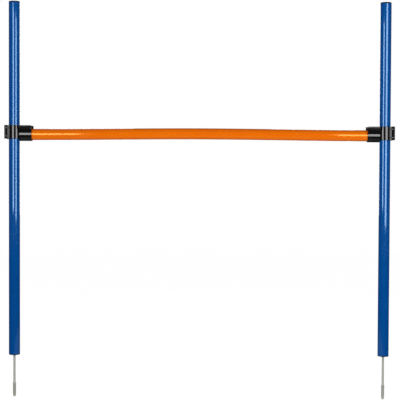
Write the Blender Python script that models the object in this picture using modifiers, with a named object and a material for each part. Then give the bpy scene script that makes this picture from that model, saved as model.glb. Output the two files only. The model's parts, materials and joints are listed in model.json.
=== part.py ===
"""Dog agility hurdle: two staked posts, a crossbar, and a double clip on each post.

One half of each clip snaps round its post and slides on it to set the height. The other
half is a cradle, open upward, that the crossbar lifts out of.
X runs from post to post, Y is the dog's way over the bar, and Z is up. The origin lies on
the ground line, midway between the posts. Sizes are in metres.
"""

from math import cos, pi, radians, sin, tan

import bmesh
import bpy
from mathutils import Matrix, Vector

# Clearances between a piece and what it seats in or slides on
SEAT_GAP = 0.0003
SLIDE_GAP = 0.0003
BAR_END_PLAY = 0.0008

# Crossbar, with its end caps
BAR_LENGTH = 1.0334
BAR_RADIUS = 0.0160
BAR_WALL = 0.0015
BAR_HEIGHT = 0.6406

# Post tubes
POST_LENGTH = 1.0193
POST_RADIUS = 0.0160
POST_WALL = 0.0015

# Push-in caps at the top of the posts and at the ends of the crossbar
CAP_HEAD = 0.0031
CAP_EDGE = 0.0016
CAP_STEM = 0.015
CAP_WALL = 0.0014

# Plugs in the feet of the posts
PLUG_RIM = 0.0018
PLUG_EDGE = 0.0012
PLUG_STEM = 0.034
PLUG_WALL = 0.0018
PLUG_FLOOR = 0.0030
PLUG_BOSS_WALL = 0.0022
PLUG_BORE_ROOF = 0.0015

# Gripping fins round the stems of caps and plugs
FIN_HEIGHT = 0.0006
FIN_PITCH = 0.0058
FIN_WIDTH = 0.0014

# Ground spikes: a round rod whose lower end is pressed flat. The right one is driven
# less far into its plug, so it reaches further down.
SPIKE_RADIUS = 0.00325
SPIKE_REACH = 0.1234
SPIKE_ROOT = 0.0296
RIGHT_SPIKE_DRAWN = 0.0034
SPIKE_CHAMFER = 0.0005
BLADE_LENGTH = 0.0405
BLADE_WIDTH = 0.0088
BLADE_THICKNESS = 0.0036
BLADE_SHOULDER = 0.0005
BLADE_NECK = 0.0022
BLADE_TIP = 0.0055
TIP_THICKNESS = 0.0013
BLADE_SQUARENESS = 4.5
NECK_SQUARENESS = 3.0
ROUND = 2.0

# Snap ring of the clip, with its two flared lips
RING_WALL = 0.0036
RING_BELOW_BAR = 0.0131
CLIP_ABOVE_BAR = 0.0264
RING_WRAP = radians(120)
LIP_CURL_RADIUS = 0.0088
LIP_CURL = radians(65)
LIP_LENGTH = 0.0079

# Ribs that stiffen the lips
RIB_THICKNESS = 0.0016
RIB_INSET = 0.0076
RIB_START = radians(101)
RIB_SHARE_OF_LIP = 0.75

# Cradle of the clip: a loose bore whose sides lean in over the bar until it just passes,
# and then flare out as lips
CRADLE_WALL = 0.0027
CRADLE_LENGTH = 0.0357
CRADLE_LEAN = radians(10)
MOUTH_PLAY = 0.00015
MOUTH_CURL_RADIUS = 0.0022
CRADLE_FLARE = radians(13)
CRADLE_LIP_INSET = 0.0006

# Wall that closes the cradle at the ring, and the web that ties it to the ring
STOP_RECESS = 0.0005
STOP_WALL = 0.0024
STOP_BITE = 0.0028
WEB_HALF_WIDTH = 0.0085
WEB_INSET = 0.0012
WEB_BORE_MARGIN = 0.0002

# Rounding of the moulded edges, and how finely round shapes are divided
CLIP_EDGE = 0.0006
CLIP_EDGE_OF_WALL = 0.4
SHARP_ANGLE = radians(32)
TUBE_STEPS = 40
CAP_STEPS = 24
SPIKE_STEPS = 24
ARC_STEP = radians(9)
EDGE_STEPS = 3

# Places that follow from the sizes
RING_OUTSIDE = POST_RADIUS + SLIDE_GAP + RING_WALL
STOP_NEAR = RING_OUTSIDE - STOP_BITE
STOP_FAR = STOP_NEAR + STOP_WALL
CRADLE_NEAR = STOP_NEAR - STOP_RECESS
POST_X = BAR_LENGTH / 2 + BAR_END_PLAY + STOP_FAR
TUBE_FOOT = PLUG_RIM + SEAT_GAP
CAP_SEAT = TUBE_FOOT + POST_LENGTH + SEAT_GAP


def clear_scene():
    """Remove every object that the file opened with."""
    for obj in list(bpy.data.objects):
        bpy.data.objects.remove(obj, do_unlink=True)


def new_collection(name):
    """Add a collection to the scene."""
    collection = bpy.data.collections.new(name)
    bpy.context.scene.collection.children.link(collection)
    return collection


def linear(channel):
    """Turn a screen colour channel of 0 to 255 into a linear one."""
    share = channel / 255
    if share <= 0.04045:
        return share / 12.92
    return ((share + 0.055) / 1.055) ** 2.4


def new_material(name, screen_colour, roughness, metallic=0.0):
    """Make a plain Principled material from a screen colour."""
    material = bpy.data.materials.new(name)
    material.use_nodes = True
    shader = material.node_tree.nodes["Principled BSDF"]
    colour = [linear(channel) for channel in screen_colour]
    shader.inputs["Base Color"].default_value = (*colour, 1.0)
    shader.inputs["Roughness"].default_value = roughness
    shader.inputs["Metallic"].default_value = metallic
    material.diffuse_color = (*colour, 1.0)
    return material


def link_object(name, data, collection):
    """Make an object from a mesh or curve and put it in a collection."""
    obj = bpy.data.objects.new(name, data)
    collection.objects.link(obj)
    return obj


def plain_mesh(obj, weld=0.0):
    """Return the object's evaluated mesh with its place applied, and remove the object."""
    bpy.context.view_layer.update()
    graph = bpy.context.evaluated_depsgraph_get()
    mesh = bpy.data.meshes.new_from_object(obj.evaluated_get(graph))
    mesh.transform(obj.matrix_world)
    bpy.data.objects.remove(obj, do_unlink=True)
    if weld:
        bm = bmesh.new()
        bm.from_mesh(mesh)
        bmesh.ops.remove_doubles(bm, verts=bm.verts, dist=weld)
        bm.to_mesh(mesh)
        bm.free()
    return mesh


def shade_round(mesh):
    """Shade a mesh smooth, with its true corners kept sharp."""
    mesh.shade_smooth()
    mesh.set_sharp_from_angle(angle=SHARP_ANGLE)
    return mesh


def turned(outline, steps, closed=False):
    """Turn a line of (radius, height) points round Z; it runs down its outer side."""
    bm = bmesh.new()
    points = [bm.verts.new((radius, 0, height)) for radius, height in outline]
    for first, second in zip(points, points[1:]):
        bm.edges.new((first, second))
    if closed:
        bm.edges.new((points[-1], points[0]))
    profile = bpy.data.meshes.new("outline")
    bm.to_mesh(profile)
    bm.free()
    obj = link_object("turning", profile, CUTTERS)
    screw = obj.modifiers.new("turn", "SCREW")
    screw.steps = steps
    screw.render_steps = steps
    screw.use_merge_vertices = True
    screw.merge_threshold = 0.00002
    return shade_round(plain_mesh(obj))


def arc_points(centre, radius, start, end, steps):
    """Points on a circle from one angle to another, both ends included."""
    angles = [start + (end - start) * i / steps for i in range(steps + 1)]
    return [(centre[0] + radius * cos(a), centre[1] + radius * sin(a)) for a in angles]


def tube_mesh(length, radius, wall):
    """A bare tube standing on the origin."""
    inside = radius - wall
    outline = [(radius, length), (radius, 0), (inside, 0), (inside, length)]
    return turned(outline, TUBE_STEPS, closed=True)


def finned_stem(outside, top, bottom):
    """The outer side of a stem from top to bottom, with fins that grip the tube."""
    root = outside - FIN_HEIGHT
    fins = int((top - bottom - FIN_WIDTH) / FIN_PITCH)
    points = [(root, top)]
    for i in range(fins):
        height = top - FIN_PITCH * (i + 1)
        points.append((root, height + FIN_WIDTH / 2))
        points.append((outside, height))
        points.append((root, height - FIN_WIDTH / 2))
    points.append((root, bottom))
    return points


def cap_mesh(tube_radius, tube_wall):
    """A push-in cap: its head rests on the tube end at height 0 and its stem hangs below."""
    stem = tube_radius - tube_wall - SEAT_GAP
    inside = stem - FIN_HEIGHT - CAP_WALL
    corner = (tube_radius - CAP_EDGE, CAP_HEAD - CAP_EDGE)
    outline = [(0, CAP_HEAD)]
    outline += arc_points(corner, CAP_EDGE, pi / 2, 0, EDGE_STEPS)
    outline += [(tube_radius, 0)]
    outline += finned_stem(stem, 0, -CAP_STEM)
    outline += [(inside, -CAP_STEM), (inside, 0), (0, 0)]
    return turned(outline, CAP_STEPS)


def plug_mesh():
    """The plug in a post's foot: rim on the ground, hollow stem, and a bored boss."""
    stem = POST_RADIUS - POST_WALL - SEAT_GAP
    inside = stem - FIN_HEIGHT - PLUG_WALL
    bore = SPIKE_RADIUS + SEAT_GAP
    bore_top = SPIKE_ROOT + SEAT_GAP
    boss = bore + PLUG_BOSS_WALL
    boss_top = bore_top + PLUG_BORE_ROOF
    floor = PLUG_RIM + PLUG_FLOOR
    corner = (POST_RADIUS - PLUG_EDGE, PLUG_EDGE)
    outline = [(0, boss_top), (boss, boss_top), (boss, floor), (inside, floor)]
    outline += [(inside, PLUG_RIM + PLUG_STEM)]
    outline += finned_stem(stem, PLUG_RIM + PLUG_STEM, PLUG_RIM)
    outline += [(POST_RADIUS, PLUG_RIM)]
    outline += arc_points(corner, PLUG_EDGE, 0, -pi / 2, EDGE_STEPS)
    outline += [(bore, 0), (bore, bore_top), (0, bore_top)]
    return turned(outline, CAP_STEPS)


def squared_ring(bm, height, half_width, half_depth, squareness):
    """A ring of points that goes from a circle, at 2, to a rounded oblong above it."""
    ring = []
    for i in range(SPIKE_STEPS):
        angle = 2 * pi * (i + 0.5) / SPIKE_STEPS
        across = abs(cos(angle)) ** (2 / squareness) * (1 if cos(angle) > 0 else -1)
        deep = abs(sin(angle)) ** (2 / squareness) * (1 if sin(angle) > 0 else -1)
        ring.append(bm.verts.new((half_width * across, half_depth * deep, height)))
    return ring


def spike_sections():
    """Height, half width, half depth and squareness of the spike, from tip to root."""
    rod = SPIKE_RADIUS
    wide = BLADE_WIDTH / 2
    deep = BLADE_THICKNESS / 2
    tip_deep = TIP_THICKNESS / 2
    length = SPIKE_REACH + SPIKE_ROOT
    sections = []
    for angle in (radians(8), radians(28), radians(50), radians(72)):
        height = BLADE_TIP * (1 - cos(angle))
        depth = tip_deep + (deep - tip_deep) * sin(angle)
        sections.append((height, wide * sin(angle), depth, NECK_SQUARENESS))
    middle = ((wide + rod) / 2, (deep + rod) / 2, NECK_SQUARENESS)
    sections += [
        (BLADE_TIP, wide, deep, BLADE_SQUARENESS),
        (BLADE_LENGTH - 3 * BLADE_NECK, wide, deep, BLADE_SQUARENESS),
        (BLADE_LENGTH - BLADE_NECK / 2, wide + BLADE_SHOULDER, deep, BLADE_SQUARENESS),
        (BLADE_LENGTH, wide + BLADE_SHOULDER / 2, deep, BLADE_SQUARENESS),
        (BLADE_LENGTH + BLADE_NECK / 3, *middle),
        (BLADE_LENGTH + BLADE_NECK, rod, rod, ROUND),
        (length - SPIKE_CHAMFER, rod, rod, ROUND),
        (length, rod - SPIKE_CHAMFER, rod - SPIKE_CHAMFER, ROUND),
    ]
    return sections


def spike_mesh():
    """A spike standing on its tip: a loft from the pressed blade to the round rod."""
    bm = bmesh.new()
    rings = [squared_ring(bm, *section) for section in spike_sections()]
    for low, high in zip(rings, rings[1:]):
        for i in range(SPIKE_STEPS):
            j = (i + 1) % SPIKE_STEPS
            bm.faces.new((low[i], low[j], high[j], high[i]))
    bm.faces.new(list(reversed(rings[0])))
    bm.faces.new(rings[-1])
    mesh = bpy.data.meshes.new("spike")
    bm.to_mesh(mesh)
    bm.free()
    return shade_round(mesh)


def arc_steps(turn):
    """How many chords an arc of this turn is divided into."""
    return max(2, round(abs(turn) / ARC_STEP))


def traced(start, heading, moves):
    """Follow runs (length, 0) and arcs (radius, turn) and return the points passed."""
    points = [Vector(start)]
    for size, turn in moves:
        if turn == 0:
            points.append(points[-1] + size * Vector((cos(heading), sin(heading))))
            continue
        steps = arc_steps(turn)
        side = 1 if turn > 0 else -1
        centre = points[-1] + side * size * Vector((-sin(heading), cos(heading)))
        for _ in range(steps):
            heading += turn / steps
            points.append(centre - side * size * Vector((-sin(heading), cos(heading))))
    return points


def both_halves(half):
    """Mirror a half section that starts on the X axis, and join the two."""
    mirrored = [Vector((point.x, -point.y)) for point in reversed(half[1:])]
    return mirrored + half


def ring_half():
    """Middle line of the snap ring and one lip, from the closed side to the lip's end."""
    middle = POST_RADIUS + SLIDE_GAP + RING_WALL / 2
    moves = [(middle, -RING_WRAP), (LIP_CURL_RADIUS, LIP_CURL), (LIP_LENGTH, 0)]
    return traced((-middle, 0), pi / 2, moves)


def cradle_half():
    """Middle line of one side of the cradle, from its bottom to the lip's end.

    The curl's centre stands where the mouth's inner side leaves the bar its play, and the
    bore is as wide as the lean between that centre and its own axis makes it.
    """
    curl_centre = BAR_RADIUS + MOUTH_PLAY + CRADLE_WALL / 2 + MOUTH_CURL_RADIUS
    middle = curl_centre / cos(CRADLE_LEAN) - MOUTH_CURL_RADIUS
    bottom = -(BAR_RADIUS + SEAT_GAP + CRADLE_WALL / 2)
    moves = [(middle, -pi / 2 - CRADLE_LEAN), (MOUTH_CURL_RADIUS, CRADLE_LEAN + CRADLE_FLARE)]
    side = traced((bottom, 0), pi / 2, moves)
    rise = CLIP_ABOVE_BAR - CRADLE_LIP_INSET - side[-1].x
    side.append(side[-1] + rise * Vector((1, tan(CRADLE_FLARE))))
    return side


def moulded_strip(line, wall, low, high):
    """A wall of even thickness that stands on a flat line, with rounded edges."""
    bm = bmesh.new()
    feet = [bm.verts.new((point.x, point.y, low)) for point in line]
    edges = [bm.edges.new(pair) for pair in zip(feet, feet[1:])]
    raised = bmesh.ops.extrude_edge_only(bm, edges=edges)["geom"]
    heads = [item for item in raised if isinstance(item, bmesh.types.BMVert)]
    bmesh.ops.translate(bm, verts=heads, vec=(0, 0, high - low))
    mesh = bpy.data.meshes.new("strip")
    bm.to_mesh(mesh)
    bm.free()
    obj = link_object("strip", mesh, CUTTERS)
    solid = obj.modifiers.new("wall", "SOLIDIFY")
    solid.thickness = wall
    solid.offset = 0
    solid.use_even_offset = True
    edge = obj.modifiers.new("edge", "BEVEL")
    edge.width = min(CLIP_EDGE, wall * CLIP_EDGE_OF_WALL)
    edge.segments = 2
    edge.limit_method = "ANGLE"
    edge.angle_limit = radians(40)
    return plain_mesh(obj)


def flat_plate(outline, thickness):
    """A plate of even thickness, centred on its flat outline."""
    curve = bpy.data.curves.new("plate", "CURVE")
    curve.dimensions = "2D"
    curve.fill_mode = "BOTH"
    curve.extrude = thickness / 2
    spline = curve.splines.new("POLY")
    spline.points.add(len(outline) - 1)
    for point, place in zip(spline.points, outline):
        point.co = (place[0], place[1], 0, 1)
    spline.use_cyclic_u = True
    return plain_mesh(link_object("plate", curve, CUTTERS), weld=0.00001)


def block_mesh(low, high):
    """A plain block between two corners."""
    bm = bmesh.new()
    bmesh.ops.create_cube(bm, size=1)
    size = Vector(high) - Vector(low)
    bmesh.ops.scale(bm, vec=size, verts=bm.verts)
    bmesh.ops.translate(bm, vec=(Vector(high) + Vector(low)) / 2, verts=bm.verts)
    mesh = bpy.data.meshes.new("block")
    bm.to_mesh(mesh)
    bm.free()
    return mesh


def joined(base, additions):
    """Unite meshes into one solid."""
    obj = link_object("union", base, CUTTERS)
    tools = []
    for i, mesh in enumerate(additions):
        tool = link_object(f"addition_{i}", mesh, CUTTERS)
        tool.display_type = "WIRE"
        tool.hide_render = True
        union = obj.modifiers.new(f"add_{i}", "BOOLEAN")
        union.operation = "UNION"
        union.solver = "EXACT"
        union.object = tool
        tools.append(tool)
    mesh = plain_mesh(obj)
    for tool in tools:
        bpy.data.objects.remove(tool, do_unlink=True)
    return mesh


def lip_rib(side, height):
    """A rib across the hollow between the ring and the back of a lip."""
    half = ring_half()
    skipped = round(arc_steps(RING_WRAP) * RIB_START / RING_WRAP)
    outline = [(point.x, side * point.y) for point in half[skipped:-1]]
    end = half[-2].lerp(half[-1], RIB_SHARE_OF_LIP)
    outline.append((end.x, side * end.y))
    mesh = flat_plate(outline, RIB_THICKNESS)
    mesh.transform(Matrix.Translation((0, 0, height)))
    return mesh


def clip_mesh():
    """The double clip: post axis on Z, lips toward +X, cradle toward -X, bar axis at Z = 0."""
    ring = moulded_strip(both_halves(ring_half()), RING_WALL, -RING_BELOW_BAR, CLIP_ABOVE_BAR)
    to_bar = Matrix.Rotation(-pi / 2, 4, "Y")
    cradle_far = CRADLE_NEAR + CRADLE_LENGTH
    cradle = moulded_strip(both_halves(cradle_half()), CRADLE_WALL, CRADLE_NEAR, cradle_far)
    cradle.transform(to_bar)
    stop = flat_plate([tuple(point) for point in both_halves(cradle_half())], STOP_WALL)
    stop.transform(to_bar @ Matrix.Translation((0, 0, (STOP_NEAR + STOP_FAR) / 2)))
    inside = POST_RADIUS + SLIDE_GAP
    web = block_mesh(
        (-(STOP_NEAR + STOP_WALL / 2), -WEB_HALF_WIDTH, -RING_BELOW_BAR + WEB_INSET),
        (-(inside + WEB_BORE_MARGIN), WEB_HALF_WIDTH, CLIP_ABOVE_BAR - WEB_INSET),
    )
    heights = (-RING_BELOW_BAR + RIB_INSET, CLIP_ABOVE_BAR - RIB_INSET)
    ribs = [lip_rib(side, height) for side in (-1, 1) for height in heights]
    return shade_round(joined(ring, [cradle, stop, web, *ribs]))


def place(name, mesh, material, location, turn=(0, 0, 0), parent=None):
    """Put a piece in the assembly; location is measured from the parent."""
    obj = link_object(name, mesh, PARTS)
    if not mesh.materials:
        mesh.materials.append(material)
    obj.location = location
    obj.rotation_euler = turn
    obj.parent = parent
    return obj


def build_posts(blue, black, steel):
    """Both posts, each with its cap, plug and spike."""
    tube = tube_mesh(POST_LENGTH, POST_RADIUS, POST_WALL)
    cap = cap_mesh(POST_RADIUS, POST_WALL)
    plug = plug_mesh()
    spike = spike_mesh()
    right_reach = SPIKE_REACH + RIGHT_SPIKE_DRAWN
    sides = (("left", -POST_X, SPIKE_REACH), ("right", POST_X, right_reach))
    for side, x, reach in sides:
        place(f"{side}_post_tube", tube, blue, (x, 0, TUBE_FOOT))
        place(f"{side}_top_cap", cap, black, (x, 0, CAP_SEAT))
        place(f"{side}_spike_plug", plug, black, (x, 0, 0))
        place(f"{side}_ground_spike", spike, steel, (x, 0, -reach))


def build_clips(black):
    """The two clips, alike and turned to face each other, with their origins on the posts."""
    clip = clip_mesh()
    place("left_clip", clip, black, (-POST_X, 0, BAR_HEIGHT), (0, 0, pi))
    place("right_clip", clip, black, (POST_X, 0, BAR_HEIGHT))


def build_crossbar(orange, black):
    """The crossbar and its end caps, on an empty at the bar's middle."""
    lift = bpy.data.objects.new("crossbar_lift", None)
    lift.location = (0, 0, BAR_HEIGHT)
    PARTS.objects.link(lift)
    cap = cap_mesh(BAR_RADIUS, BAR_WALL)
    seat = BAR_LENGTH / 2 - CAP_HEAD
    length = 2 * (seat - SEAT_GAP)
    tube = tube_mesh(length, BAR_RADIUS, BAR_WALL)
    along_x = (0, pi / 2, 0)
    place("crossbar_tube", tube, orange, (-length / 2, 0, 0), along_x, lift)
    place("crossbar_right_cap", cap, black, (seat, 0, 0), along_x, lift)
    place("crossbar_left_cap", cap, black, (-seat, 0, 0), (0, -pi / 2, 0), lift)


def build():
    """Model the whole hurdle."""
    blue = new_material("blue plastic", (10, 71, 138), 0.22)
    orange = new_material("orange plastic", (236, 104, 16), 0.25)
    black = new_material("black plastic", (18, 18, 19), 0.38)
    steel = new_material("bright steel", (176, 176, 170), 0.35, metallic=1.0)
    build_posts(blue, black, steel)
    build_clips(black)
    build_crossbar(orange, black)


clear_scene()
PARTS = new_collection("dog_agility_hurdle")
CUTTERS = new_collection("cutters")
build()
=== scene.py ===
"""Looks of the dog agility hurdle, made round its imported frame.

Two blue tube posts stand on bare ground spikes, and an orange crossbar rests in the open
cradles of two black double clips. A finer piece takes the place of each one of the frame:
tubes, caps and plugs are turned outlines, spikes are lofts, and clips are moulded walls
joined into one solid. X runs from post to post, Y away from the viewer, and Z up. Sizes
are in metres.
"""

import json
from math import copysign, cos, pi, radians, sin, tan

import bmesh
import bpy
from mathutils import Matrix, Vector

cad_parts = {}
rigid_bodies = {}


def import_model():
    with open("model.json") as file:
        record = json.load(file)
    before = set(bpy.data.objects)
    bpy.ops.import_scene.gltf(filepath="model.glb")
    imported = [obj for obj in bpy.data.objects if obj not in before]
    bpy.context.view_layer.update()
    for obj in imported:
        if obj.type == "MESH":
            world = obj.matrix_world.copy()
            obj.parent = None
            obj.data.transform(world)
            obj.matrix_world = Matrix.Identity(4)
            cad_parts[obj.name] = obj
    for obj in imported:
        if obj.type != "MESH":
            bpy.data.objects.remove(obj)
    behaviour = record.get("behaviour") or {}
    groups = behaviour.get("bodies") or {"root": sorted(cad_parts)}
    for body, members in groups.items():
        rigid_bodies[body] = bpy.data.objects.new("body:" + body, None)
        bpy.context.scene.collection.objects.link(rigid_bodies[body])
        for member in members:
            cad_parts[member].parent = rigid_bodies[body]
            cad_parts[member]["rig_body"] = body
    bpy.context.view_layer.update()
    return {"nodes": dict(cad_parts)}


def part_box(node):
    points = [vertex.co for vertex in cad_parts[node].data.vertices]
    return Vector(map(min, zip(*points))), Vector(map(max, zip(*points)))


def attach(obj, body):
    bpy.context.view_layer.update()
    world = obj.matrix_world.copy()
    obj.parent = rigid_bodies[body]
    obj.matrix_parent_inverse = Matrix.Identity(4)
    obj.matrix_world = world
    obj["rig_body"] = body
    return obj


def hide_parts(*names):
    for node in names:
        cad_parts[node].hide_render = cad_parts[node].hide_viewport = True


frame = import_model()

SIDES = ("left", "right")
OUTWARD = {"left": -1, "right": 1}


def centre(node):
    """Middle of a node's box."""
    low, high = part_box(node)
    return (low + high) / 2


# Sizes and places that the frame gives
POST_LOW, POST_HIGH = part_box("right_post_tube")
POST_RADIUS = (POST_HIGH.x - POST_LOW.x) / 2
POST_X = {side: centre(f"{side}_post_tube").x for side in SIDES}
CAP_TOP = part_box("right_top_cap")[1].z
BAR_LOW, BAR_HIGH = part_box("crossbar_tube")
BAR_RADIUS = (BAR_HIGH.z - BAR_LOW.z) / 2
BAR_Z = (BAR_HIGH.z + BAR_LOW.z) / 2
BAR_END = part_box("crossbar_right_cap")[1].x
CLIP_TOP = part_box("right_clip")[1].z
SPIKE_TIP = {side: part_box(f"{side}_ground_spike")[0].z for side in SIDES}
SPIKE_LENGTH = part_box("right_ground_spike")[1].z - SPIKE_TIP["right"]
FLOOR_Z = min(SPIKE_TIP.values())

# Clearances, as in the frame
SEAT_GAP = 0.0003
SLIDE_GAP = 0.0003

# Tubes
TUBE_WALL = 0.0015
TUBE_EDGE = 0.00035
END_ROW = 4 * TUBE_EDGE
BAR_ARCH = 0.0036
BAR_RINGS = 64
POST_RINGS = 24

# Caps and plugs
CAP_HEAD = 0.0031
CAP_EDGE = 0.0016
CAP_STEM = 0.015
CAP_WALL = 0.0014
GATE_RADIUS = 0.0013
GATE_DEPTH = 0.0004
PLUG_RIM = 0.0018
PLUG_EDGE = 0.0012
PLUG_STEM = 0.034
PLUG_WALL = 0.0018
PLUG_FLOOR = 0.0030
PLUG_BOSS_WALL = 0.0022
PLUG_BORE_ROOF = 0.0015
SPIKE_ROOT = 0.0296
FIN_HEIGHT = 0.0006
FIN_PITCH = 0.0058
FIN_WIDTH = 0.0014
FIN_CREST = 0.0003

# Spikes
SPIKE_RADIUS = 0.00325
SPIKE_CHAMFER = 0.0005
BLADE_LENGTH = 0.0405
BLADE_WIDTH = 0.0088
BLADE_THICKNESS = 0.0036
BLADE_SHOULDER = 0.0005
BLADE_NECK = 0.0022
BLADE_SWELL = 3 * BLADE_NECK
BLADE_TIP = 0.0055
TIP_THICKNESS = 0.0013
BLADE_SQUARENESS = 4.5
TIP_SQUARENESS = 3.0
ROUND = 2.0

# Heights above the floor between which the blade's darker grey and the tip's rubbing set in
BLADE_FADE = (BLADE_LENGTH + 0.004, BLADE_LENGTH - 0.002)
TIP_FADE = (0.016, 0.002)

# Clips
RING_WALL = 0.0036
RING_WRAP = radians(120)
RING_BELOW_BAR = 0.0131
LIP_CURL_RADIUS = 0.0078
LIP_CURL = radians(70)
LIP_LENGTH = 0.0089
RIB_COUNT = 2
RIB_THICKNESS = 0.0016
RIB_INSET = 0.0076
RIB_START = radians(104)
RIB_SHARE_OF_LIP = 0.65
RIB_EDGE = 0.0007
CRADLE_WALL = 0.0027
CRADLE_LENGTH = 0.0357
CRADLE_LEAN = radians(10)
MOUTH_PLAY = 0.00015
MOUTH_CURL_RADIUS = 0.0022
CRADLE_FLARE = radians(13)
CRADLE_LIP_INSET = 0.00065
STOP_RECESS = 0.0005
STOP_WALL = 0.0024
STOP_BITE = 0.0028
WEB_HALF_WIDTH = 0.0085
WEB_INSET = 0.0012
WEB_BORE_MARGIN = 0.0002
CLIP_EDGE = 0.0006
CLIP_ABOVE_BAR = CLIP_TOP - BAR_Z
RING_OUTSIDE = POST_RADIUS + SLIDE_GAP + RING_WALL
STOP_NEAR = RING_OUTSIDE - STOP_BITE
STOP_FAR = STOP_NEAR + STOP_WALL
CRADLE_NEAR = STOP_NEAR - STOP_RECESS

# How finely shapes are divided; rings on flat ends are shares of their radius
TUBE_SIDES = 96
CAP_SIDES = 72
CAP_RINGS = (0.35, 0.7)
RIM_RING = 0.7
SPIKE_SIDES = 48
TIP_DEGREES = range(8, 81, 12)
BLADE_ROWS = 6
SHOULDER_ROWS = 4
NECK_ROWS = 5
ROD_ROWS = 12
ARC_STEP = radians(3)
EDGE_STEPS = 4
CLIP_ROWS = 10
EDGE_ROW = 0.0011

# The circle that an outline is swept round, and how close the points are that merge
HUB = 0.001
MERGE = 0.00001

# How far an edge folds where it is rounded, where it shades as a corner, and where its wear
# starts and is full
ROUNDED_ANGLE = radians(40)
SHARP_ANGLE = radians(34)
WEAR_START = radians(7)
WEAR_FULL = radians(17)

# Camera, as the photograph was taken
PHOTO_PIXELS = 400
FOCAL_PIXELS = 1067.4
SENSOR = 36.0
CAMERA_PLACE = Vector((0.0167, -3.0981, 0.5347))
CAMERA_YAW = radians(-0.267)
CAMERA_PITCH = radians(1.520)
CAMERA_ROLL = radians(-0.242)

# Lamps: place, point faced, width, height, and brightness of the face
LAMPS = {
    "left softbox": ((-0.812, -1.430, 0.80), (0.274, -0.395, 0.80), 0.76, 0.87, 4.8),
    "right softbox": ((1.007, -1.491, 0.79), (0.207, -0.221, 0.79), 0.93, 0.98, 4.75),
    "left back softbox": ((-0.6, 2.6, 0.9), (-0.6, 0, 0.8), 0.45, 1.2, 4.0),
    "right back softbox": ((0.6, 2.6, 0.9), (0.6, 0, 0.8), 0.45, 1.2, 4.0),
}

# Room: how bright it is in the gloss of the pieces, and its soft light, level and overhead
ROOM_GLOSS = 0.04
ROOM_SOFT = (0.75, 0.12)

# Floor: its size, and the distances between which it goes dim in the gloss of the pieces
FLOOR_RADIUS = 6.0
FLOOR_SIDES = 96
FLOOR_FADE = (0.7, 1.1)

# Floor: its tone as it lights the pieces, in their gloss near by and far out, and as the
# camera sees it under the glow
FLOOR_TONE = 0.85
FLOOR_NEAR_TONE = 0.3
FLOOR_FAR_TONE = 0.02
FLOOR_SEEN_TONE = 0.9

# Floor: how bright its glow is, how much of it the camera sees, and how much lights the
# pieces from below
FLOOR_WHITE = 1.09
FLOOR_GLOW = 0.88
FLOOR_SPILL = 0.23


class Socket:
    """An output of a node, which takes part in plain arithmetic."""

    def __init__(self, graph, output):
        self.graph = graph
        self.output = output

    def also(self, name):
        """Another output of the same node."""
        return Socket(self.graph, self.graph.pick(self.output.node.outputs, name))

    def __add__(self, other):
        return self.graph.math("ADD", self, other)

    def __radd__(self, other):
        return self.graph.math("ADD", other, self)

    def __sub__(self, other):
        return self.graph.math("SUBTRACT", self, other)

    def __rsub__(self, other):
        return self.graph.math("SUBTRACT", other, self)

    def __mul__(self, other):
        return self.graph.math("MULTIPLY", self, other)

    def __rmul__(self, other):
        return self.graph.math("MULTIPLY", other, self)

    def __truediv__(self, other):
        return self.graph.math("DIVIDE", self, other)

    def __lt__(self, other):
        return self.graph.math("LESS_THAN", self, other)

    def __abs__(self):
        return self.graph.math("ABSOLUTE", self)


class Graph:
    """A tree of nodes that is built up one node at a time."""

    def __init__(self, tree):
        self.tree = tree
        tree.nodes.clear()

    def pick(self, sockets, key):
        """A socket by its place, or by its name among those in use."""
        if isinstance(key, int):
            return sockets[key]
        return next(item for item in sockets if item.name == key and item.enabled)

    def node(self, kind, settings=None, values=None, out=0):
        """Add a node: first its settings, then its values and links. Return an output, if any."""
        node = self.tree.nodes.new(kind)
        for name, setting in (settings or {}).items():
            setattr(node, name, setting)
        for key, value in (values or {}).items():
            if isinstance(value, Socket):
                self.tree.links.new(value.output, self.pick(node.inputs, key))
            else:
                self.pick(node.inputs, key).default_value = value
        if not node.outputs:
            return None
        return Socket(self, self.pick(node.outputs, out))

    def math(self, operation, *values):
        """The result of a Math node."""
        return self.node("ShaderNodeMath", {"operation": operation}, dict(enumerate(values)))

    def vector(self, **parts):
        """A vector from its parts."""
        return self.node("ShaderNodeCombineXYZ", None, parts)

    def part(self, whole, axis):
        """One part of a vector."""
        return self.node("ShaderNodeSeparateXYZ", None, {"Vector": whole}, out=axis)

    def between(self, value, low, high, bottom=0.0, top=1.0):
        """Carry a value smoothly from one range to another."""
        values = {
            "Value": value,
            "From Min": low,
            "From Max": high,
            "To Min": bottom,
            "To Max": top,
        }
        return self.node("ShaderNodeMapRange", {"interpolation_type": "SMOOTHSTEP"}, values)

    def blend(self, factor, first, second):
        """Mix two colours."""
        values = {"Factor": factor, "A": first, "B": second}
        return self.node("ShaderNodeMix", {"data_type": "RGBA"}, values, out="Result")


def linear(channel):
    """Turn a screen colour channel of 0 to 255 into a linear one."""
    share = channel / 255
    if share <= 0.04045:
        return share / 12.92
    return ((share + 0.055) / 1.055) ** 2.4


def screen(red, green, blue):
    """A colour as it shows on a screen, in linear light."""
    return (linear(red), linear(green), linear(blue), 1.0)


def grey(level):
    """A grey of this level, in linear light."""
    return (level, level, level, 1.0)


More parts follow.
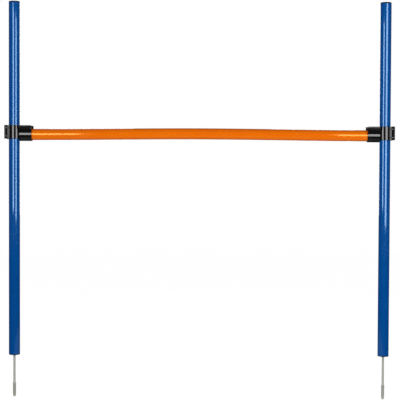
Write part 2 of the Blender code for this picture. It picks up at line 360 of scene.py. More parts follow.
class Finish(Graph):
    """A material whose surface varies over Object coordinates and worn edges."""

    def __init__(self, name, constants=None):
        self.material = bpy.data.materials.new(name)
        self.material.use_nodes = True
        super().__init__(self.material.node_tree)
        self.constants = constants or {}
        self.place = self.node("ShaderNodeTexCoord", out="Object")
        self.wear = self.node("ShaderNodeAttribute", {"attribute_name": "edge_wear"}, out="Fac")
        self.bump = None

    def scaled(self, size, seed):
        """Coordinates for features of one size, or of a size for each axis, in metres."""
        sizes = size if isinstance(size, tuple) else (size,) * 3
        values = {
            "Vector": self.place,
            "Location": (seed, seed * 0.7, seed * 1.3),
            "Scale": tuple(1 / length for length in sizes),
        }
        return self.node("ShaderNodeMapping", None, values)

    def noise(self, size, seed, detail, roughness=0.5, distortion=0.0):
        """Noise with features of this size."""
        values = {
            "Vector": self.scaled(size, seed),
            "Scale": 1.0,
            "Detail": detail,
            "Roughness": roughness,
            "Distortion": distortion,
        }
        return self.node("ShaderNodeTexNoise", None, values, out="Fac")

    def cells(self, size, seed, out):
        """Voronoi cells of this size: the distance to a cell's middle, or the cell's colour."""
        values = {"Vector": self.scaled(size, seed), "Scale": 1.0}
        return self.node("ShaderNodeTexVoronoi", None, values, out=out)

    def raise_by(self, height, depth):
        """Add a relief of this depth, in metres, to the surface."""
        values = {"Strength": 1.0, "Distance": depth, "Height": height}
        if self.bump:
            values["Normal"] = self.bump
        self.bump = self.node("ShaderNodeBump", None, values)

    def finish(self, colour, roughness, metallic=None):
        """Close the material with its shader."""
        values = {"Base Color": colour, "Roughness": roughness}
        if metallic is not None:
            values["Metallic"] = metallic
        if self.bump:
            values["Normal"] = self.bump
        values.update(self.constants)
        surface = self.node("ShaderNodeBsdfPrincipled", None, values)
        self.node("ShaderNodeOutputMaterial", None, {"Surface": surface})
        return self.material


def along(axis, across, length):
    """Sizes of a pattern that is drawn out along one axis."""
    return tuple(length if name == axis else across for name in "XYZ")


def tube_plastic(name, axis, body, deep, bright, tint, skin):
    """Glossy extruded plastic: long streaks, fine die lines, light scuffs and cut edges."""
    gloss = {
        "IOR": 1.62,
        "Specular IOR Level": 1.0,
        "Specular Tint": tint,
        "Coat Weight": skin,
        "Coat Roughness": 0.03,
    }
    made = Finish(name, gloss)
    streaks = made.noise(along(axis, across=0.0032, length=0.55), seed=3, detail=2)
    clouds = made.noise(0.075, seed=9, detail=2)
    lines = made.noise(along(axis, across=0.00035, length=0.09), seed=5, detail=2)
    patches = made.between(made.noise(0.042, seed=17, detail=2), 0.5, 0.68)
    scratches = made.between(made.noise((0.0006, 0.0009, 0.011), seed=21, detail=1), 0.66, 0.72)
    hairs = made.between(made.noise((0.012, 0.0008, 0.0007), seed=29, detail=1), 0.67, 0.73)
    scuffs = (scratches + hairs) * patches
    grain = made.noise(0.0011, seed=13, detail=3)
    edges = made.wear * made.between(grain, 0.35, 0.6)
    tone = made.between(streaks * 0.6 + clouds * 0.4, 0.3, 0.7)
    colour = made.blend(tone, deep, body)
    colour = made.blend(scuffs * 0.22 + edges * 0.45, colour, bright)
    roughness = 0.03 + 0.04 * lines + 0.03 * clouds + 0.2 * scuffs + 0.22 * edges
    made.raise_by(streaks, depth=0.00003)
    made.raise_by(lines, depth=0.000003)
    made.raise_by(grain, depth=0.000006)
    made.raise_by(scuffs * -1, depth=0.00002)
    return made.finish(colour, roughness)


def moulded_plastic(name, body, worn, least_roughness):
    """Satin moulded plastic: spark-eroded grain, flow marks, and edges rubbed lighter."""
    made = Finish(name, {"Specular IOR Level": 0.8})
    grain = made.noise(0.00045, seed=4, detail=3, roughness=0.6)
    flow = made.noise((0.012, 0.009, 0.006), seed=7, detail=3, distortion=1.2)
    clouds = made.noise(0.02, seed=11, detail=2)
    specks = made.between(made.cells(0.0021, seed=15, out="Distance"), 0.16, 0.08)
    dust = made.between(made.noise(0.006, seed=19, detail=4), 0.56, 0.74)
    edges = made.wear * made.between(made.noise(0.0016, seed=23, detail=3), 0.36, 0.6)
    colour = made.blend(edges * 0.55 + specks * dust * 0.25, body, worn)
    colour = made.blend(flow * 0.3, colour, screen(20, 20, 21))
    roughness = least_roughness + 0.03 * grain + 0.03 * flow + 0.03 * clouds
    roughness = roughness + 0.05 * dust - 0.02 * edges
    made.raise_by(grain, depth=0.000005)
    made.raise_by(flow, depth=0.00002)
    return made.finish(colour, roughness)


def plated_steel(name):
    """Zinc-plated rod: drawn lines, spangled plating, a pressed blade and a rubbed tip."""
    made = Finish(name)
    height = made.part(made.place, "Z") - FLOOR_Z
    lines = made.noise((0.00022, 0.00022, 0.03), seed=2, detail=3)
    spangle = made.cells((0.0016, 0.0016, 0.0024), seed=6, out="Color")
    spangle = made.node("ShaderNodeRGBToBW", None, {"Color": spangle})
    clouds = made.noise(0.008, seed=8, detail=4)
    pits = made.between(made.noise(0.0009, seed=12, detail=2), 0.66, 0.74)
    blade = made.between(height, *BLADE_FADE)
    tip = made.between(height, *TIP_FADE)
    edges = made.wear * made.between(clouds, 0.35, 0.6)
    rod = made.blend(spangle * 0.4 + clouds * 0.6, screen(197, 198, 188), screen(215, 216, 203))
    pressed = made.blend(clouds, screen(166, 168, 159), screen(189, 190, 179))
    rubbed = made.math("MAXIMUM", tip * 0.7, edges * 0.6)
    colour = made.blend(blade * 0.8, rod, pressed)
    colour = made.blend(rubbed, colour, screen(223, 223, 212))
    colour = made.blend(pits * 0.5, colour, screen(120, 112, 100))
    roughness = 0.38 + 0.1 * lines + 0.06 * spangle + 0.06 * clouds + 0.2 * pits - 0.06 * edges
    made.raise_by(lines, depth=0.000015)
    made.raise_by(clouds, depth=0.00006)
    made.raise_by(pits * -1, depth=0.00004)
    return made.finish(colour, roughness, metallic=0.5 - pits * 0.3)


def with_inputs(name, inputs):
    """A geometry tree with a Geometry input and these further inputs, and its input node."""
    tree = bpy.data.node_groups.new(name, "GeometryNodeTree")
    graph = Graph(tree)
    for label, kind in (("Geometry", "Geometry"), *inputs):
        tree.interface.new_socket(name=label, in_out="INPUT", socket_type=f"NodeSocket{kind}")
    tree.interface.new_socket(name="Geometry", in_out="OUTPUT", socket_type="NodeSocketGeometry")
    return graph, graph.node("NodeGroupInput", out="Geometry")


def closed(graph, geometry, finish):
    """End a geometry tree: real geometry, with its material."""
    real = graph.node("GeometryNodeRealizeInstances", None, {"Geometry": geometry})
    coloured = graph.node("GeometryNodeSetMaterial", None, {"Geometry": real, "Material": finish})
    graph.node("NodeGroupOutput", None, {"Geometry": coloured})
    return graph.tree


def turned_tree():
    """Turn an outline of (radius, height) round an axis, set it in place and spring it upward."""
    inputs = (
        ("Sides", "Int"),
        ("Hub", "Float"),
        ("Turn", "Vector"),
        ("Place", "Vector"),
        ("Arch", "Float"),
        ("Half Span", "Float"),
        ("Finish", "Material"),
    )
    graph, given = with_inputs("turned piece", inputs)
    position = graph.node("GeometryNodeInputPosition")
    flip = {0: position, 1: (1, -1, 1)}
    upright = graph.node("ShaderNodeVectorMath", {"operation": "MULTIPLY"}, flip)
    shift = {0: upright, 1: graph.vector(X=given.also("Hub"))}
    inward = graph.node("ShaderNodeVectorMath", {"operation": "SUBTRACT"}, shift)
    outline = graph.node("GeometryNodeSetPosition", None, {"Geometry": given, "Position": inward})
    ring = {"Resolution": given.also("Sides"), "Radius": given.also("Hub")}
    circle = graph.node("GeometryNodeCurvePrimitiveCircle", {"mode": "RADIUS"}, ring)
    lines = {"Curve": circle, "Profile Curve": outline}
    swept = graph.node("GeometryNodeCurveToMesh", None, lines)
    whole = graph.node("GeometryNodeMergeByDistance", None, {"Geometry": swept, "Distance": MERGE})
    turn = graph.node("FunctionNodeEulerToRotation", None, {"Euler": given.also("Turn")})
    settled = {"Geometry": whole, "Rotation": turn, "Translation": given.also("Place")}
    placed = graph.node("GeometryNodeTransform", None, settled)
    share = graph.part(position, "X") / given.also("Half Span")
    wave = graph.math("COSINE", share * (pi / 2))
    lift = given.also("Arch") * wave * wave * (abs(share) < 1)
    sprung = {"Geometry": placed, "Offset": graph.vector(Z=lift)}
    piece = graph.node("GeometryNodeSetPosition", None, sprung)
    return closed(graph, piece, given.also("Finish"))


def worn_tree():
    """Mark the outer edges of a piece, where it is rubbed, and shade it with crisp corners."""
    inputs = (
        ("Least Angle", "Float"),
        ("Full Angle", "Float"),
        ("Corner", "Float"),
        ("Finish", "Material"),
    )
    graph, given = with_inputs("worn edges", inputs)
    angle = graph.node("GeometryNodeInputMeshEdgeAngle", out="Signed Angle")
    mark = graph.between(angle, given.also("Least Angle"), given.also("Full Angle"))
    spread = graph.node("GeometryNodeBlurAttribute", None, {"Value": mark, "Iterations": 1})
    named = {"Geometry": given, "Name": "edge_wear", "Value": spread}
    marked = graph.node("GeometryNodeStoreNamedAttribute", {"domain": "POINT"}, named)
    soft = {"Geometry": marked, "Shade Smooth": True}
    smooth = graph.node("GeometryNodeSetShadeSmooth", {"domain": "FACE"}, soft)
    folded = graph.node("GeometryNodeInputMeshEdgeAngle", out="Unsigned Angle")
    limit = {"A": folded, "B": given.also("Corner")}
    corner = graph.node("FunctionNodeCompare", {"operation": "GREATER_THAN"}, limit)
    crisp = {"Geometry": smooth, "Selection": corner, "Shade Smooth": False}
    shaded = graph.node("GeometryNodeSetShadeSmooth", {"domain": "EDGE"}, crisp)
    return closed(graph, shaded, given.also("Finish"))


def rib_tree():
    """Set copies of a flat rib at even heights."""
    inputs = (("Count", "Int"), ("Lowest", "Float"), ("Step", "Float"), ("Finish", "Material"))
    graph, given = with_inputs("lip ribs", inputs)
    line = {
        "Count": given.also("Count"),
        "Start Location": graph.vector(Z=given.also("Lowest")),
        "Offset": graph.vector(Z=given.also("Step")),
    }
    heights = graph.node("GeometryNodeMeshLine", {"mode": "OFFSET"}, line)
    ribs = graph.node("GeometryNodeInstanceOnPoints", None, {"Points": heights, "Instance": given})
    return closed(graph, ribs, given.also("Finish"))


def evaluated(obj):
    """The object's evaluated mesh, with its place applied; the object is removed."""
    bpy.context.view_layer.update()
    seen = obj.evaluated_get(bpy.context.evaluated_depsgraph_get())
    mesh = bpy.data.meshes.new_from_object(seen)
    mesh.transform(obj.matrix_world)
    bpy.data.objects.remove(obj, do_unlink=True)
    return mesh


def linked(name, data):
    """An object with this mesh or curve, in the scene."""
    obj = bpy.data.objects.new(name, data)
    bpy.context.scene.collection.objects.link(obj)
    return obj


def mesh_of(bm, name):
    """The mesh of a bmesh that is done with."""
    mesh = bpy.data.meshes.new(name)
    bm.to_mesh(mesh)
    bm.free()
    return mesh


def grown(data, tree, sizes):
    """The plain mesh that a geometry tree makes of a mesh or curve."""
    obj = linked("base", data)
    modifier = obj.modifiers.new("form", "NODES")
    modifier.node_group = tree
    for item in tree.interface.items_tree:
        if item.in_out == "INPUT" and item.name in sizes:
            modifier[item.identifier] = sizes[item.name]
    return evaluated(obj)


def drawn(points, closed_line):
    """A curve of straight runs through flat points."""
    curve = bpy.data.curves.new("outline", "CURVE")
    curve.dimensions = "3D"
    spline = curve.splines.new("POLY")
    spline.points.add(len(points) - 1)
    for point, place in zip(spline.points, points):
        point.co = (place[0], place[1], 0, 1)
    spline.use_cyclic_u = closed_line
    return curve


def turned(
    outline, sides, finish, place, turn=(0, 0, 0), closed_line=False, arch=0.0, half_span=1.0
):
    """A turned piece from an outline that runs down its outer side."""
    sizes = {
        "Sides": sides,
        "Hub": HUB,
        "Turn": turn,
        "Place": place,
        "Arch": arch,
        "Half Span": half_span,
        "Finish": finish,
    }
    return grown(drawn(outline, closed_line), TREES["turned"], sizes)


def dressed(name, mesh, node, finish):
    """Put a finished piece in the scene in place of its node, on the node's own body."""
    sizes = {
        "Least Angle": WEAR_START,
        "Full Angle": WEAR_FULL,
        "Corner": SHARP_ANGLE,
        "Finish": finish,
    }
    mesh.materials.clear()
    piece = linked(name, grown(mesh, TREES["worn"], sizes))
    body = frame["nodes"][node]["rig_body"]
    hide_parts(node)
    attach(piece, body)
    return piece


def arc(middle, radius, start, end, steps=EDGE_STEPS):
    """Points on a circle from one angle to another, both ends included."""
    angles = [start + (end - start) * i / steps for i in range(steps + 1)]
    return [(middle[0] + radius * cos(a), middle[1] + radius * sin(a)) for a in angles]


def rungs(start, end, count):
    """Heights between two heights, both left out."""
    return [start + (end - start) * i / count for i in range(1, count)]


def tube_outline(length, radius, rings):
    """The closed outline of a tube standing on the origin, with broken cut edges."""
    inside = radius - TUBE_WALL
    edge = TUBE_EDGE
    high = length - edge
    top = high - END_ROW
    bottom = edge + END_ROW
    rows = [top, *rungs(top, bottom, rings), bottom]
    outline = arc((radius - edge, high), edge, pi / 2, 0)
    outline += [(radius, height) for height in rows]
    outline += arc((radius - edge, edge), edge, 0, -pi / 2)
    outline += arc((inside + edge, edge), edge, -pi / 2, -pi)
    outline += [(inside, height) for height in reversed(rows)]
    outline += arc((inside + edge, high), edge, pi, pi / 2)
    return outline


def finned_stem(outside, top, bottom):
    """The outer side of a stem from top to bottom, with fins that narrow to a crest."""
    root = outside - FIN_HEIGHT
    fins = int((top - bottom - FIN_WIDTH) / FIN_PITCH)
    points = [(root, top)]
    for i in range(fins):
        height = top - FIN_PITCH * (i + 1)
        points += [
            (root, height + FIN_WIDTH / 2),
            (outside, height + FIN_CREST / 2),
            (outside, height - FIN_CREST / 2),
            (root, height - FIN_WIDTH / 2),
        ]
    points.append((root, bottom))
    return points


def cap_outline(radius):
    """A push-in cap: head on the tube end at height 0, stem below, gate mark on top."""
    stem = radius - TUBE_WALL - SEAT_GAP
    inside = stem - FIN_HEIGHT - CAP_WALL
    corner = (radius - CAP_EDGE, CAP_HEAD - CAP_EDGE)
    flat = corner[0]
    outline = [(0, CAP_HEAD - GATE_DEPTH)]
    outline += [(GATE_RADIUS, CAP_HEAD - GATE_DEPTH), (GATE_RADIUS + GATE_DEPTH, CAP_HEAD)]
    outline += [(flat * share, CAP_HEAD) for share in CAP_RINGS]
    outline += arc(corner, CAP_EDGE, pi / 2, 0, 2 * EDGE_STEPS)
    outline += [(radius, 0)]
    outline += finned_stem(stem, 0, -CAP_STEM)
    outline += [(inside, -CAP_STEM), (inside, 0), (0, 0)]
    return outline


def plug_outline():
    """The plug in a post's foot: rim on the ground, hollow stem, and a bored boss."""
    stem = POST_RADIUS - TUBE_WALL - SEAT_GAP
    inside = stem - FIN_HEIGHT - PLUG_WALL
    bore = SPIKE_RADIUS + SEAT_GAP
    bore_top = SPIKE_ROOT + SEAT_GAP
    boss = bore + PLUG_BOSS_WALL
    boss_top = bore_top + PLUG_BORE_ROOF
    floor = PLUG_RIM + PLUG_FLOOR
    corner = (POST_RADIUS - PLUG_EDGE, PLUG_EDGE)
    mouth = bore + TUBE_EDGE
    outline = [(0, boss_top), (boss, boss_top), (boss, floor), (inside, floor)]
    outline += [(inside, PLUG_RIM + PLUG_STEM)]
    outline += finned_stem(stem, PLUG_RIM + PLUG_STEM, PLUG_RIM)
    outline += [(POST_RADIUS, PLUG_RIM)]
    outline += arc(corner, PLUG_EDGE, 0, -pi / 2, 2 * EDGE_STEPS)
    outline += [(corner[0] * RIM_RING, 0), (mouth + TUBE_EDGE, 0)]
    outline += arc((mouth, TUBE_EDGE), TUBE_EDGE, -pi / 2, -pi)
    outline += [(bore, bore_top), (0, bore_top)]
    return outline


def squared_ring(bm, height, half_width, half_depth, squareness):
    """A level ring of points: an oval if its squareness is 2, a rounded oblong if more."""
    ring = []
    for i in range(SPIKE_SIDES):
        angle = 2 * pi * (i + 0.5) / SPIKE_SIDES
        across = copysign(abs(cos(angle)) ** (2 / squareness), cos(angle))
        deep = copysign(abs(sin(angle)) ** (2 / squareness), sin(angle))
        ring.append(bm.verts.new((half_width * across, half_depth * deep, height)))
    return ring


def spike_sections():
    """Height, half width, half depth and squareness of the spike, from tip to root."""
    rod = SPIKE_RADIUS
    wide = BLADE_WIDTH / 2
    deep = BLADE_THICKNESS / 2
    tip_deep = TIP_THICKNESS / 2
    sections = []
    for degrees in TIP_DEGREES:
        angle = radians(degrees)
        height = BLADE_TIP * (1 - cos(angle))
        depth = tip_deep + (deep - tip_deep) * sin(angle)
        sections.append((height, wide * sin(angle), depth, TIP_SQUARENESS))
    flat_end = BLADE_LENGTH - BLADE_SWELL
    for height in (BLADE_TIP, *rungs(BLADE_TIP, flat_end, BLADE_ROWS), flat_end):
        sections.append((height, wide, deep, BLADE_SQUARENESS))
    shoulder = BLADE_LENGTH - BLADE_NECK / 2
    for height in (*rungs(flat_end, shoulder, SHOULDER_ROWS), shoulder):
        swell = (1 - cos(pi * (height - flat_end) / (shoulder - flat_end))) / 2
        sections.append((height, wide + BLADE_SHOULDER * swell, deep, BLADE_SQUARENESS))
    neck_end = BLADE_LENGTH + BLADE_NECK
    for i in range(1, NECK_ROWS + 1):
        share = i / NECK_ROWS
        turn = (1 - cos(pi * share)) / 2
        width = wide + BLADE_SHOULDER + (rod - wide - BLADE_SHOULDER) * turn
        depth = deep + (rod - deep) * turn
        squareness = BLADE_SQUARENESS + (ROUND - BLADE_SQUARENESS) * turn
        sections.append((shoulder + (neck_end - shoulder) * share, width, depth, squareness))
    root = SPIKE_LENGTH - SPIKE_CHAMFER
    for height in (*rungs(neck_end, root, ROD_ROWS), root):
        sections.append((height, rod, rod, ROUND))
    sections.append((SPIKE_LENGTH, rod - SPIKE_CHAMFER, rod - SPIKE_CHAMFER, ROUND))
    return sections


def spike_mesh():
    """A spike standing on its tip: a loft from the pressed blade to the round rod."""
    bm = bmesh.new()
    rings = [squared_ring(bm, *section) for section in spike_sections()]
    for low, high in zip(rings, rings[1:]):
        for i in range(SPIKE_SIDES):
            j = (i + 1) % SPIKE_SIDES
            bm.faces.new((low[i], low[j], high[j], high[i]))
    bm.faces.new(list(reversed(rings[0])))
    bm.faces.new(rings[-1])
    return mesh_of(bm, "spike")


def arc_steps(turn):
    """How many chords an arc of this turn is divided into."""
    return max(2, round(abs(turn) / ARC_STEP))


def traced(start, heading, moves):
    """Follow runs (length, 0) and arcs (radius, turn) and return the points passed."""
    points = [Vector(start)]
    for size, turn in moves:
        if turn == 0:
            points.append(points[-1] + size * Vector((cos(heading), sin(heading))))
            continue
        steps = arc_steps(turn)
        side = 1 if turn > 0 else -1
        middle = points[-1] + side * size * Vector((-sin(heading), cos(heading)))
        for _ in range(steps):
            heading += turn / steps
            points.append(middle - side * size * Vector((-sin(heading), cos(heading))))
    return points


def both_halves(half):
    """Mirror a half section that starts on the X axis, and join the two."""
    mirrored = [Vector((point.x, -point.y)) for point in reversed(half[1:])]
    return mirrored + half


def ring_half():
    """Middle line of the snap ring and one lip, from the closed side to the lip's end."""
    middle = POST_RADIUS + SLIDE_GAP + RING_WALL / 2
    moves = [(middle, -RING_WRAP), (LIP_CURL_RADIUS, LIP_CURL), (LIP_LENGTH, 0)]
    return traced((-middle, 0), pi / 2, moves)


def cradle_half():
    """Middle line of one side of the cradle, from its bottom to the lip's end."""
    curl_centre = BAR_RADIUS + MOUTH_PLAY + CRADLE_WALL / 2 + MOUTH_CURL_RADIUS
    middle = curl_centre / cos(CRADLE_LEAN) - MOUTH_CURL_RADIUS
    bottom = -(BAR_RADIUS + SEAT_GAP + CRADLE_WALL / 2)
    moves = [(middle, -pi / 2 - CRADLE_LEAN), (MOUTH_CURL_RADIUS, CRADLE_LEAN + CRADLE_FLARE)]
    side = traced((bottom, 0), pi / 2, moves)
    rise = CLIP_ABOVE_BAR - CRADLE_LIP_INSET - side[-1].x
    side.append(side[-1] + rise * Vector((1, tan(CRADLE_FLARE))))
    return side


def rounded(obj, radius):
    """The object's mesh with its sharp edges rounded; the object is removed."""
    edge = obj.modifiers.new("edge", "BEVEL")
    edge.width = radius
    edge.segments = EDGE_STEPS
    edge.limit_method = "ANGLE"
    edge.angle_limit = ROUNDED_ANGLE
    return evaluated(obj)


def moulded_strip(line, wall, low, high):
    """A wall of even thickness that stands on a flat line, in rows, with rounded edges."""
    inner = rungs(low + EDGE_ROW, high - EDGE_ROW, CLIP_ROWS)
    heights = [low, low + EDGE_ROW, *inner, high - EDGE_ROW, high]
    bm = bmesh.new()
    rows = [[bm.verts.new((point.x, point.y, height)) for point in line] for height in heights]
    for lower, upper in zip(rows, rows[1:]):
        for i in range(len(line) - 1):
            bm.faces.new((lower[i], lower[i + 1], upper[i + 1], upper[i]))
    obj = linked("strip", mesh_of(bm, "strip"))
    solid = obj.modifiers.new("wall", "SOLIDIFY")
    solid.thickness = wall
    solid.offset = 0
    solid.use_even_offset = True
    return rounded(obj, CLIP_EDGE)


def flat_plate(outline, thickness):
    """A plate of even thickness, centred on its flat outline."""
    curve = drawn(outline, True)
    curve.dimensions = "2D"
    curve.fill_mode = "BOTH"
    curve.extrude = thickness / 2
    mesh = evaluated(linked("plate", curve))
    bm = bmesh.new()
    bm.from_mesh(mesh)
    bmesh.ops.remove_doubles(bm, verts=bm.verts, dist=MERGE)
    bm.to_mesh(mesh)
    bm.free()
    return mesh


def block_mesh(low, high):
    """A block between two corners."""
    bm = bmesh.new()
    bmesh.ops.create_cube(bm, size=1)
    bmesh.ops.scale(bm, vec=Vector(high) - Vector(low), verts=bm.verts)
    bmesh.ops.translate(bm, vec=(Vector(high) + Vector(low)) / 2, verts=bm.verts)
    return mesh_of(bm, "block")


def joined(base, additions):
    """Unite meshes into one solid."""
    obj = linked("union", base)
    tools = []
    for i, mesh in enumerate(additions):
        tool = linked(f"addition_{i}", mesh)
        union = obj.modifiers.new(f"add_{i}", "BOOLEAN")
        union.operation = "UNION"
        union.solver = "EXACT"
        union.object = tool
        tools.append(tool)
    mesh = evaluated(obj)
    for tool in tools:
        bpy.data.objects.remove(tool, do_unlink=True)
    return mesh


def lip_ribs(side, finish):
    """The ribs across the hollow between the ring and the back of one lip."""
    half = ring_half()
    skipped = round(arc_steps(RING_WRAP) * RIB_START / RING_WRAP)
    outline = [(point.x, side * point.y) for point in half[skipped:-1]]
    end = half[-2].lerp(half[-1], RIB_SHARE_OF_LIP)
    outline.append((end.x, side * end.y))
    plate = rounded(linked("rib", flat_plate(outline, RIB_THICKNESS)), RIB_EDGE)
    plate.materials.clear()
    lowest = -RING_BELOW_BAR + RIB_INSET
    highest = CLIP_ABOVE_BAR - RIB_INSET
    step = (highest - lowest) / (RIB_COUNT - 1)
    sizes = {"Count": RIB_COUNT, "Lowest": lowest, "Step": step, "Finish": finish}
    return grown(plate, TREES["ribs"], sizes)


def clip_mesh(finish):
    """The double clip: post axis on Z, lips toward +X, cradle toward -X, bar axis at Z = 0."""
    ring = moulded_strip(both_halves(ring_half()), RING_WALL, -RING_BELOW_BAR, CLIP_ABOVE_BAR)
    to_bar = Matrix.Rotation(-pi / 2, 4, "Y")
    cradle_far = CRADLE_NEAR + CRADLE_LENGTH
    cradle = moulded_strip(both_halves(cradle_half()), CRADLE_WALL, CRADLE_NEAR, cradle_far)
    cradle.transform(to_bar)
    stop = flat_plate([tuple(point) for point in both_halves(cradle_half())], STOP_WALL)
    stop.transform(to_bar @ Matrix.Translation((0, 0, (STOP_NEAR + STOP_FAR) / 2)))
    inside = POST_RADIUS + SLIDE_GAP
    web = block_mesh(
        (-(STOP_NEAR + STOP_WALL / 2), -WEB_HALF_WIDTH, -RING_BELOW_BAR + WEB_INSET),
        (-(inside + WEB_BORE_MARGIN), WEB_HALF_WIDTH, CLIP_ABOVE_BAR - WEB_INSET),
    )
    return joined(ring, [cradle, stop, web, lip_ribs(-1, finish), lip_ribs(1, finish)])


def add_posts(finishes):
    """Both posts, each with its cap, plug and spike."""
    length = POST_HIGH.z - POST_LOW.z
    for side in SIDES:
        x = POST_X[side]
        outline = tube_outline(length, POST_RADIUS, POST_RINGS)
        tube = turned(outline, TUBE_SIDES, finishes["post"], (x, 0, POST_LOW.z), closed_line=True)
        dressed(f"{side}_post", tube, f"{side}_post_tube", finishes["post"])
        tube_end = (x, 0, CAP_TOP - CAP_HEAD)
        cap = turned(cap_outline(POST_RADIUS), CAP_SIDES, finishes["cap"], tube_end)
        dressed(f"{side}_post_cap", cap, f"{side}_top_cap", finishes["cap"])
        plug = turned(plug_outline(), CAP_SIDES, finishes["cap"], (x, 0, 0))
        dressed(f"{side}_foot_plug", plug, f"{side}_spike_plug", finishes["cap"])
        spike = spike_mesh()
        spike.transform(Matrix.Translation((x, 0, SPIKE_TIP[side])))
        dressed(f"{side}_spike", spike, f"{side}_ground_spike", finishes["spike"])


def add_clips(finishes):
    """The two clips, alike and turned to face each other."""
    clip = clip_mesh(finishes["clip"])
    for side in SIDES:
        mesh = clip.copy()
        if side == "left":
            mesh.transform(Matrix.Rotation(pi, 4, "Z"))
        mesh.transform(Matrix.Translation((POST_X[side], 0, BAR_Z)))
        dressed(f"{side}_double_clip", mesh, f"{side}_clip", finishes["clip"])


def add_crossbar(finishes):
    """The crossbar, sprung slightly upward between the cradles, and its end caps."""
    length = BAR_HIGH.x - BAR_LOW.x
    free_half = POST_X["right"] - CRADLE_NEAR - CRADLE_LENGTH
    outline = tube_outline(length, BAR_RADIUS, BAR_RINGS)
    tube = turned(
        outline,
        TUBE_SIDES,
        finishes["bar"],
        (BAR_LOW.x, 0, BAR_Z),
        turn=(0, pi / 2, 0),
        closed_line=True,
        arch=BAR_ARCH,
        half_span=free_half,
    )
    dressed("crossbar", tube, "crossbar_tube", finishes["bar"])
    for side in SIDES:
        out = OUTWARD[side]
        tube_end = (out * (BAR_END - CAP_HEAD), 0, BAR_Z)
        turn = (0, out * pi / 2, 0)
        cap = turned(cap_outline(BAR_RADIUS), CAP_SIDES, finishes["cap"], tube_end, turn)
        dressed(f"bar_cap_{side}", cap, f"crossbar_{side}_cap", finishes["cap"])


def add_camera():
    """The camera, fitted to the posts and the bar of the photograph."""
    flat = cos(CAMERA_PITCH)
    ahead = Vector((sin(CAMERA_YAW) * flat, cos(CAMERA_YAW) * flat, -sin(CAMERA_PITCH)))
    level = Vector((cos(CAMERA_YAW), -sin(CAMERA_YAW), 0))
    above = level.cross(ahead)
    across = level * cos(CAMERA_ROLL) - above * sin(CAMERA_ROLL)
    up = level * sin(CAMERA_ROLL) + above * cos(CAMERA_ROLL)
    data = bpy.data.cameras.new("camera")
    data.sensor_width = SENSOR
    data.lens = FOCAL_PIXELS / PHOTO_PIXELS * SENSOR
    camera = linked("camera", data)
    turn = Matrix((across, up, -ahead)).transposed().to_4x4()
    camera.matrix_world = Matrix.Translation(CAMERA_PLACE) @ turn
    bpy.context.scene.camera = camera


def add_softbox(name, place, target, width, height, level):
    """A rectangular lamp that faces a point; its level is the brightness of its face."""
    data = bpy.data.lights.new(name, "AREA")
    data.shape = "RECTANGLE"
    data.size = width
    data.size_y = height
    data.energy = level * width * height * pi
    lamp = linked(name, data)
    lamp.location = place
    lamp.rotation_euler = (Vector(target) - Vector(place)).to_track_quat("-Z", "Y").to_euler()


def add_lights():
    """A pair of softboxes before the hurdle and a pair behind it."""
    for name, lamp in LAMPS.items():
        add_softbox(name, *lamp)


def add_world():
    """White behind the hurdle, a dim room in its gloss, and soft light that fades upward."""
    world = bpy.data.worlds.new("room")
    bpy.context.scene.world = world
    world.use_nodes = True
    graph = Graph(world.node_tree)
    seen = graph.node("ShaderNodeLightPath", out="Is Camera Ray")
    toward = graph.node("ShaderNodeTexCoord", out="Generated")
    rise = graph.part(toward, "Z")
    soft = graph.between(rise, 0, 1, *ROOM_SOFT)
    strength = seen + seen.also("Is Glossy Ray") * ROOM_GLOSS + seen.also("Is Diffuse Ray") * soft
    light = graph.node("ShaderNodeBackground", None, {"Color": grey(1), "Strength": strength})
    graph.node("ShaderNodeOutputWorld", None, {"Surface": light})


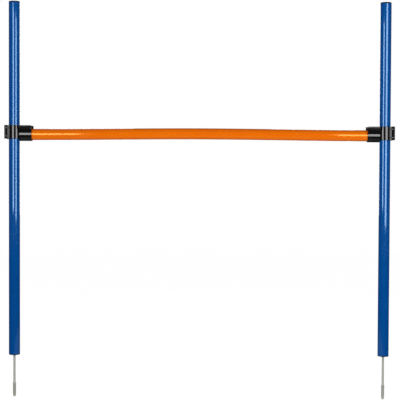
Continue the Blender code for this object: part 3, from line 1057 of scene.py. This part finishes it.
def add_floor():
    """A wide pale floor under the spikes; in the gloss of the pieces it is dim far out."""
    material = bpy.data.materials.new("pale floor")
    material.use_nodes = True
    graph = Graph(material.node_tree)
    seen = graph.node("ShaderNodeLightPath", out="Is Camera Ray")
    glossy = seen.also("Is Glossy Ray")
    place = graph.node("ShaderNodeTexCoord", out="Object")
    reach = graph.node("ShaderNodeVectorMath", {"operation": "LENGTH"}, {0: place}, out="Value")
    dim = glossy * graph.between(reach, *FLOOR_FADE)
    shade = graph.blend(glossy, grey(FLOOR_TONE), grey(FLOOR_NEAR_TONE))
    shade = graph.blend(dim, shade, grey(FLOOR_FAR_TONE))
    shade = graph.blend(seen, shade, grey(FLOOR_SEEN_TONE))
    matt = graph.node("ShaderNodeBsdfDiffuse", None, {"Color": shade})
    white = graph.node("ShaderNodeEmission", None, {"Color": grey(1), "Strength": FLOOR_WHITE})
    glow = seen * FLOOR_GLOW + seen.also("Is Diffuse Ray") * FLOOR_SPILL
    surface = graph.node("ShaderNodeMixShader", None, {"Fac": glow, 1: matt, 2: white})
    graph.node("ShaderNodeOutputMaterial", None, {"Surface": surface})
    bm = bmesh.new()
    bmesh.ops.create_circle(bm, cap_ends=True, segments=FLOOR_SIDES, radius=FLOOR_RADIUS)
    mesh = mesh_of(bm, "floor")
    mesh.transform(Matrix.Translation((0, 0, FLOOR_Z)))
    mesh.materials.append(material)
    linked("floor", mesh)


def make_finishes():
    """One material for each kind of piece."""
    return {
        "post": tube_plastic(
            "blue tube plastic",
            axis="Z",
            body=screen(2, 76, 149),
            deep=screen(2, 70, 140),
            bright=screen(96, 140, 186),
            tint=(0.38, 0.68, 1, 1),
            skin=0.28,
        ),
        "bar": tube_plastic(
            "orange tube plastic",
            axis="X",
            body=screen(235, 112, 5),
            deep=screen(230, 103, 5),
            bright=screen(250, 176, 112),
            tint=(1, 0.62, 0.12, 1),
            skin=0.2,
        ),
        "clip": moulded_plastic(
            "black clip plastic",
            body=screen(9, 9, 9),
            worn=screen(62, 62, 62),
            least_roughness=0.05,
        ),
        "cap": moulded_plastic(
            "black cap plastic",
            body=screen(10, 10, 10),
            worn=screen(66, 66, 66),
            least_roughness=0.12,
        ),
        "spike": plated_steel("plated spike steel"),
    }


TREES = {"turned": turned_tree(), "worn": worn_tree(), "ribs": rib_tree()}
FINISHES = make_finishes()
add_camera()
add_posts(FINISHES)
add_clips(FINISHES)
add_crossbar(FINISHES)
add_floor()
add_lights()
add_world()
bpy.context.scene.view_settings.view_transform = "Standard"
